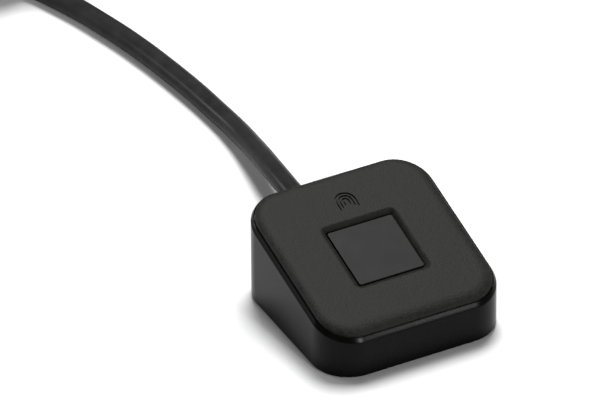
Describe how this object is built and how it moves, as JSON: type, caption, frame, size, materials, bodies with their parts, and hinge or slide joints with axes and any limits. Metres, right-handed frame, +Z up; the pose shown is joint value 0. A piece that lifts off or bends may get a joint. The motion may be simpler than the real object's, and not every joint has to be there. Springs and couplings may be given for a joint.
{
  "type": "fingerprint reader",
  "caption": "Small wedge-shaped desktop fingerprint reader with a square touch sensor in a recess in its sloping top, and a USB lead from the back wall.",
  "frame": {"origin": "middle of the body's footprint on the desk, at the underside of the foot pad; the free lead and its plug are left out of that middle", "axes": "+Z up from the desk; +Y from the low front edge to the high back wall, where the lead leaves; +X to the right, seen from the front"},
  "size_m": [0.069, 0.2115, 0.0201],
  "materials": {
    "case_satin": "satin black moulded ABS",
    "cover_textured": "fine matte spark texture, charcoal",
    "sensor_coating": "smooth matte hard coating over the touch sensor",
    "rubber_pad": "matte silicone rubber",
    "screw_steel": "zinc-plated steel",
    "ballast_steel": "blanked mild steel plate",
    "bracket_steel": "stamped stainless sheet",
    "foam": "thin closed-cell foam tape",
    "circuit_board": "green solder mask on glass epoxy",
    "ribbon_film": "amber polyimide film with copper tracks",
    "chip_epoxy": "black moulded epoxy",
    "crystal_can": "bright metal lid",
    "capacitor_ceramic": "tan ceramic with tinned ends",
    "resistor_ceramic": "dark glazed ceramic with tinned ends",
    "connector_plastic": "ivory glass-filled nylon",
    "latch_plastic": "dark brown liquid-crystal polymer",
    "receptacle_plastic": "white nylon",
    "gold_contact": "gold flash over phosphor bronze",
    "wire_red": "red PVC insulation",
    "wire_white": "white PVC insulation",
    "wire_green": "green PVC insulation",
    "wire_black": "black PVC insulation",
    "cord_jacket": "soft satin black PVC jacket",
    "tie_strap": "soft black hook-and-loop strap",
    "plug_plastic": "black overmoulded PVC",
    "plug_steel": "nickel-plated steel sheet",
    "tongue_plastic": "black thermoplastic insulator"
  },
  "bodies": {
    "root": {"housing": "case_satin", "top_cover": "cover_textured", "base_plate": "case_satin", "foot_pad": "rubber_pad", "base_screws": "screw_steel", "ballast_plate": "ballast_steel", "sensor_tile": "sensor_coating", "sensor_gasket": "foam", "sensor_board": "circuit_board", "sensor_bracket": "bracket_steel", "bracket_screws": "screw_steel", "sensor_flex": "ribbon_film", "main_pcb": "circuit_board", "pcb_screws": "screw_steel", "usb_controller": "chip_epoxy", "secure_element": "chip_epoxy", "clock_crystal": "crystal_can", "voltage_regulator": "chip_epoxy", "esd_array": "chip_epoxy", "chip_capacitors": "capacitor_ceramic", "chip_resistors": "resistor_ceramic", "fpc_connector": "connector_plastic", "fpc_contacts": "gold_contact", "cable_header": "connector_plastic", "header_pins": "gold_contact", "cable_receptacle": "receptacle_plastic", "wire_red": "wire_red", "wire_white": "wire_white", "wire_green": "wire_green", "wire_black": "wire_black", "crimp_sleeve": "bracket_steel", "strain_relief": "cord_jacket", "cable_end": "cord_jacket", "cord": "cord_jacket", "cord_coil": "cord_jacket", "cord_tail": "cord_jacket", "cord_tie": "tie_strap", "plug_strain_relief": "cord_jacket", "plug_grip": "plug_plastic", "plug_shell": "plug_steel", "plug_tongue": "tongue_plastic", "plug_contacts": "gold_contact"},
    "fpc_latch": {"fpc_latch": "latch_plastic"}
  },
  "joints": [
    {"name": "fpc_latch_hinge", "type": "hinge", "parent": "root", "child": "fpc_latch", "pos_m": [0, -0.007, 0.00735], "axis": [1, 0, 0], "range_deg": [0, 90]}
  ]
}
